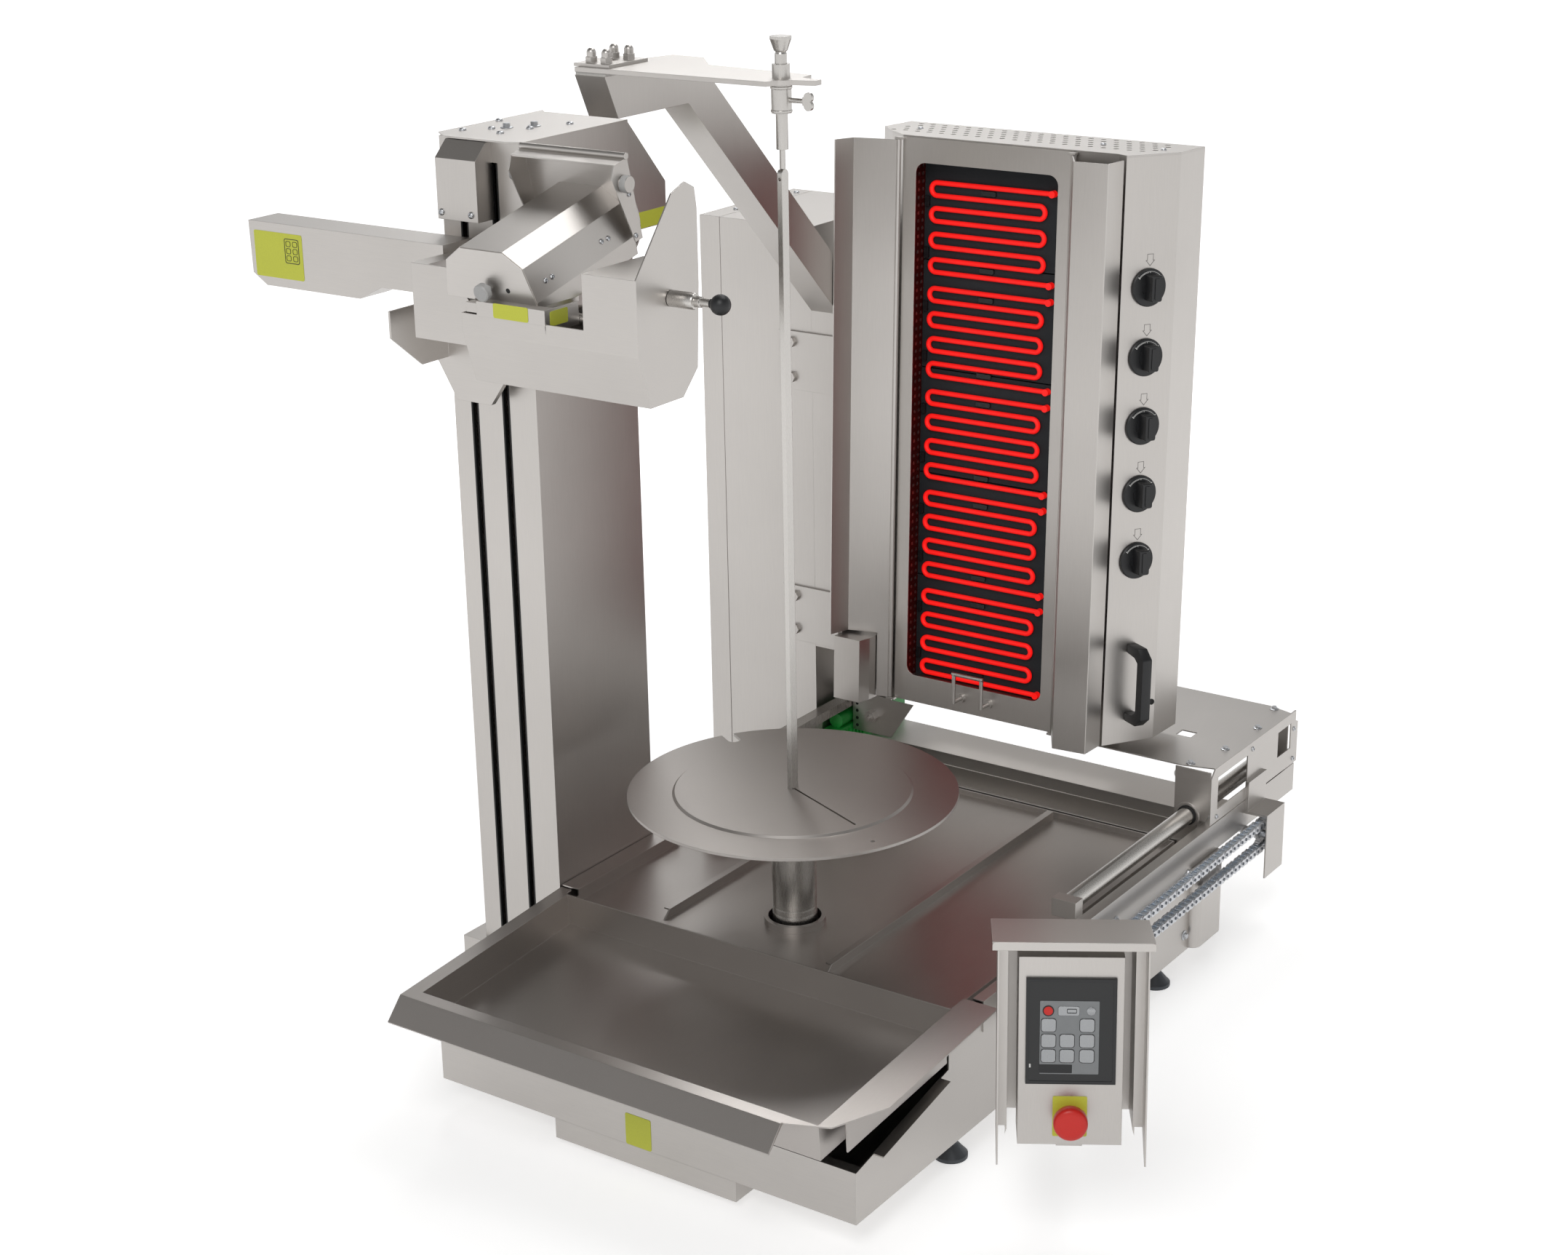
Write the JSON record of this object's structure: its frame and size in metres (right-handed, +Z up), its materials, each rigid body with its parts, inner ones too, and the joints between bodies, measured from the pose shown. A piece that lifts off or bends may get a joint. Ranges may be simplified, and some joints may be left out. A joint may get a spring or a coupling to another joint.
{
  "type": "electric doner kebab grill",
  "caption": "Automatic electric doner kebab grill: turning vertical skewer, sliding radiant heater with wings, lifting knife head, catch trays and a swivelling touch panel.",
  "frame": {"origin": "middle of the bounding box on the floor, under the levelling feet", "axes": "+Z up, along the skewer; -Y is the front with the sloped catch tray; +X is the side with the chain, the dials and the touch panel"},
  "size_m": [1.3856, 1.3084, 1.365],
  "materials": {
    "steel_sheet": "satin brushed stainless sheet",
    "steel_shaft": "ground stainless rod",
    "steel_plate": "blasted stainless plate",
    "blade_steel": "polished hardened steel",
    "cast_foot": "dark grey",
    "motor_paint": "grey stove enamel",
    "green_paint": "green enamel",
    "chain_steel": "bright zinc",
    "black_rubber": "matt",
    "black_plastic": "fine grain",
    "white_plastic": "smooth",
    "grey_plastic": "smooth",
    "heater_bed": "pressed ceramic fibre board",
    "element_tube": "oxidised sheath, red when hot",
    "panel_glass": "touch panel",
    "stop_red": "moulded"
  },
  "bodies": {
    "stand": {"base_shell": "steel_sheet", "lower_pan": "steel_sheet", "levelling_feet": "cast_foot", "side_beam": "steel_sheet", "rear_beams": "steel_sheet", "corner_cover": "steel_sheet", "rear_tray": "steel_sheet", "gear_motor": "motor_paint", "column_foot": "steel_sheet", "lift_column": "steel_sheet", "slot_seals": "black_rubber", "lift_cover": "steel_sheet", "lift_rails": "steel_shaft", "rear_column": "steel_sheet", "spit_arm": "steel_sheet", "arm_brackets": "steel_plate", "arm_spacer": "white_plastic", "arm_plate": "steel_plate", "arm_clamp": "steel_plate", "top_bearing": "steel_shaft", "guide_rails": "steel_shaft", "drive_chain": "chain_steel", "sprockets": "chain_steel", "drive_motor": "green_paint", "panel_arm": "steel_sheet"},
    "collecting_tray": {"front_tray": "steel_sheet"},
    "spit_drive": {"spindle": "steel_shaft", "turntable": "steel_plate", "spit": "blade_steel"},
    "plunger": {"spit_plunger": "steel_shaft"},
    "wing_screw": {"wing_screw": "steel_shaft"},
    "heater_carriage": {"carriage_deck": "steel_sheet", "side_plate": "steel_sheet", "end_plates": "steel_sheet", "left_bracket": "steel_sheet"},
    "heater": {"heater_housing": "steel_sheet", "heater_top": "steel_sheet", "heater_frame": "steel_sheet", "element_bed": "heater_bed", "elements": "element_tube", "pull_handle": "black_plastic"},
    "left_wing": {"left_wing": "steel_sheet"},
    "right_wing": {"right_wing": "steel_sheet"},
    "dial_1": {"dial_1": "black_plastic"},
    "dial_2": {"dial_2": "black_plastic"},
    "dial_3": {"dial_3": "black_plastic"},
    "dial_4": {"dial_4": "black_plastic"},
    "dial_5": {"dial_5": "black_plastic"},
    "lift": {"lift_carriage": "steel_sheet", "key_beam": "steel_sheet", "cross_rods": "steel_shaft"},
    "knife_head": {"knife_guard": "steel_sheet", "knife_motor": "steel_sheet", "knife_shroud": "steel_sheet"},
    "round_knife": {"round_knife": "blade_steel"},
    "thumb_screw": {"thumb_screw": "grey_plastic"},
    "lock_pin": {"lock_pin": "black_plastic"},
    "control_panel": {"panel_box": "steel_sheet", "touch_panel": "panel_glass"},
    "stop_button": {"stop_button": "stop_red"}
  },
  "joints": [
    {"name": "tray_lift_out", "type": "slide", "parent": "stand", "child": "collecting_tray", "axis": [0, 0, 1], "range_m": [0, 0.08]},
    {"name": "spit_turn", "type": "hinge", "parent": "stand", "child": "spit_drive", "pos_m": [0.03618, -0.17878, 0.385], "axis": [0, 0, 1], "continuous": true},
    {"name": "plunger_pull", "type": "slide", "parent": "stand", "child": "plunger", "axis": [0, 0, 1], "range_m": [0, 0.025], "stiffness_N_per_m": 300, "springref_m": -0.01},
    {"name": "wing_screw_turn", "type": "hinge", "parent": "stand", "child": "wing_screw", "pos_m": [0.04618, -0.17878, 1.289], "axis": [1, 0, 0], "range_deg": [0, 180]},
    {"name": "heater_travel", "type": "slide", "parent": "stand", "child": "heater_carriage", "axis": [0, -1, 0], "range_m": [0, 0.22]},
    {"name": "heater_tilt", "type": "hinge", "parent": "heater_carriage", "child": "heater", "pos_m": [0.03718, 0.39299, 0.30462], "axis": [1, 0, 0], "range_deg": [-2, 4]},
    {"name": "left_wing_swing", "type": "hinge", "parent": "heater", "child": "left_wing", "pos_m": [-0.13282, 0.33797, 0.71479], "axis": [0, 0.0349, 0.9994], "range_deg": [0, 55]},
    {"name": "right_wing_swing", "type": "hinge", "parent": "heater", "child": "right_wing", "pos_m": [0.14918, 0.33797, 0.71479], "axis": [0, 0.0349, 0.9994], "range_deg": [-30, 0]},
    {"name": "dial_1_turn", "type": "hinge", "parent": "heater", "child": "dial_1", "pos_m": [0.25318, 0.36785, 0.58767], "axis": [0.8595, -0.5108, 0.0178], "range_deg": [-270, 0]},
    {"name": "dial_2_turn", "type": "hinge", "parent": "heater", "child": "dial_2", "pos_m": [0.25318, 0.37125, 0.68501], "axis": [0.8595, -0.5108, 0.0178], "range_deg": [-270, 0]},
    {"name": "dial_3_turn", "type": "hinge", "parent": "heater", "child": "dial_3", "pos_m": [0.25318, 0.37465, 0.78235], "axis": [0.8595, -0.5108, 0.0178], "range_deg": [-270, 0]},
    {"name": "dial_4_turn", "type": "hinge", "parent": "heater", "child": "dial_4", "pos_m": [0.25318, 0.37805, 0.87969], "axis": [0.8595, -0.5108, 0.0178], "range_deg": [-270, 0]},
    {"name": "dial_5_turn", "type": "hinge", "parent": "heater", "child": "dial_5", "pos_m": [0.25318, 0.38145, 0.97703], "axis": [0.8595, -0.5108, 0.0178], "range_deg": [-270, 0]},
    {"name": "knife_lift", "type": "slide", "parent": "stand", "child": "lift", "axis": [0, 0, 1], "range_m": [-0.56, 0]},
    {"name": "knife_cross", "type": "slide", "parent": "lift", "child": "knife_head", "axis": [1, 0, 0], "range_m": [0, 0.12]},
    {"name": "knife_spin", "type": "hinge", "parent": "knife_head", "child": "round_knife", "pos_m": [-0.18982, -0.27353, 1.14835], "axis": [0, 0.9694, 0.2453], "continuous": true},
    {"name": "thumb_screw_turn", "type": "hinge", "parent": "knife_head", "child": "thumb_screw", "pos_m": [-0.18982, -0.48048, 1.08567], "axis": [0, 0.9694, 0.2453], "range_deg": [0, 180]},
    {"name": "lock_pin_pull", "type": "slide", "parent": "knife_head", "child": "lock_pin", "axis": [1, 0, 0], "range_m": [0, 0.01], "stiffness_N_per_m": 800, "springref_m": -0.01},
    {"name": "panel_swivel", "type": "hinge", "parent": "stand", "child": "control_panel", "pos_m": [0.54311, -0.34434, 0.162], "axis": [0, 0, 1], "range_deg": [-35, 35]},
    {"name": "stop_push", "type": "slide", "parent": "control_panel", "child": "stop_button", "axis": [-0.5201, 0.8487, -0.0958], "range_m": [0, 0.005], "stiffness_N_per_m": 1500, "springref_m": -0.003}
  ]
}
